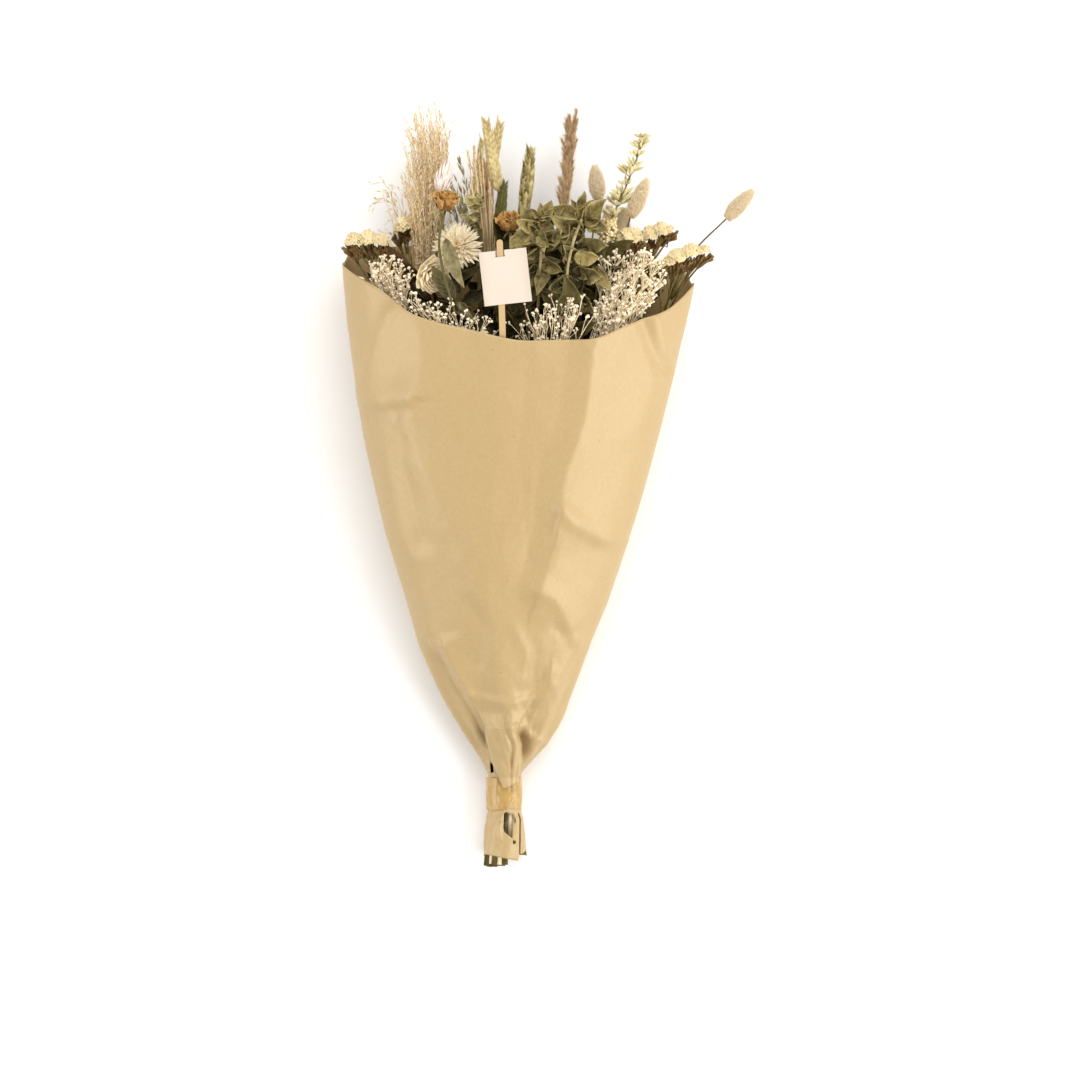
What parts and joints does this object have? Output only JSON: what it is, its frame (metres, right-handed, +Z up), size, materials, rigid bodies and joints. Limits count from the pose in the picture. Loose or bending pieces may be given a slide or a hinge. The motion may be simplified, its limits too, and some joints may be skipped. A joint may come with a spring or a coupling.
{
  "type": "mixed flower bouquet",
  "caption": "Hand-tied bouquet of dried flowers, grasses and leaves in a creased kraft paper wrap, taped at the neck, with a blank card on a wooden stick, lying on its back.",
  "frame": {"origin": "the flat back of the paper wrap, on the surface it lies on, under the middle of the wrap", "axes": "+Y along the bouquet from the cut stems to the flowers, +Z up out of the surface through the front of the wrap, +X to the right seen from above"},
  "size_m": [0.333, 0.6001, 0.1354],
  "materials": {
    "kraft_paper": "matt kraft wrapping paper, creased",
    "tape": "satin brown packing tape",
    "band": "matt tan rubber band",
    "stick_wood": "raw pale birch",
    "card_paper": "smooth uncoated card, bare",
    "green_stem": "dry green-brown stem",
    "pale_stem": "dry straw-coloured stem",
    "leaf": "dry olive leaf, matt",
    "pale_leaf": "dry grey-green leaf, matt",
    "brown_leaf": "dry rust-brown leaf, slight sheen",
    "wheat": "dry straw-gold ears",
    "green_wheat": "dry dark green ear",
    "straw": "dry straw stalks",
    "tan_plume": "soft dry grass plume",
    "brown_plume": "soft brown reed plume",
    "hare_tail": "soft bristly grass head",
    "pods": "dry yellow-green pods",
    "yarrow": "dry cream buttons",
    "statice": "papery cream florets",
    "calyx": "dry brown cups and branches",
    "strawflower": "papery cream petals, satin",
    "pink_strawflower": "papery pinkish white petals",
    "rose": "dry orange-brown petals",
    "gypsophila": "tiny dry cream florets"
  },
  "bodies": {
    "root": {"paper_wrap": "kraft_paper", "neck_tape": "tape", "stem_band": "band", "card_stick": "stick_wood", "card": "card_paper", "green_wheat": "green_wheat", "yarrow_stem": "green_stem", "yarrow_head": "yarrow", "larkspur": "pods", "brown_plume": "brown_plume", "tan_plume": "tan_plume", "fine_grass": "tan_plume", "straw_bunch": "straw", "pale_leafy_stem": "pale_leaf", "brown_leaf": "brown_leaf", "wheat_1": "wheat", "wheat_2": "wheat", "wheat_3": "wheat", "wheat_5": "wheat", "lagurus_1_stem": "pale_stem", "lagurus_1_head": "hare_tail", "statice_1_stem": "calyx", "statice_1_florets": "statice", "lagurus_2_stem": "pale_stem", "lagurus_2_head": "hare_tail", "statice_2_stem": "calyx", "statice_2_florets": "statice", "lagurus_3_stem": "pale_stem", "lagurus_3_head": "hare_tail", "statice_3_stem": "calyx", "statice_3_florets": "statice", "lagurus_4_stem": "pale_stem", "lagurus_4_head": "hare_tail", "statice_4_stem": "calyx", "statice_4_florets": "statice", "lagurus_5_stem": "pale_stem", "lagurus_5_head": "hare_tail", "statice_5_stem": "calyx", "statice_5_florets": "statice", "rose_1_stem": "pale_leaf", "rose_1_bud": "rose", "rose_2_stem": "pale_leaf", "rose_2_bud": "rose", "strawflower_1_stem": "green_stem", "strawflower_1_bloom": "strawflower", "strawflower_2_stem": "green_stem", "strawflower_2_bloom": "strawflower", "strawflower_3_stem": "green_stem", "strawflower_3_bloom": "pink_strawflower", "gypsophila_1": "gypsophila", "leafy_stem_1": "leaf", "gypsophila_2": "gypsophila", "leafy_stem_2": "leaf", "gypsophila_3": "gypsophila", "leafy_stem_3": "leaf", "gypsophila_4": "gypsophila", "leafy_stem_4": "leaf"}
  },
  "joints": []
}
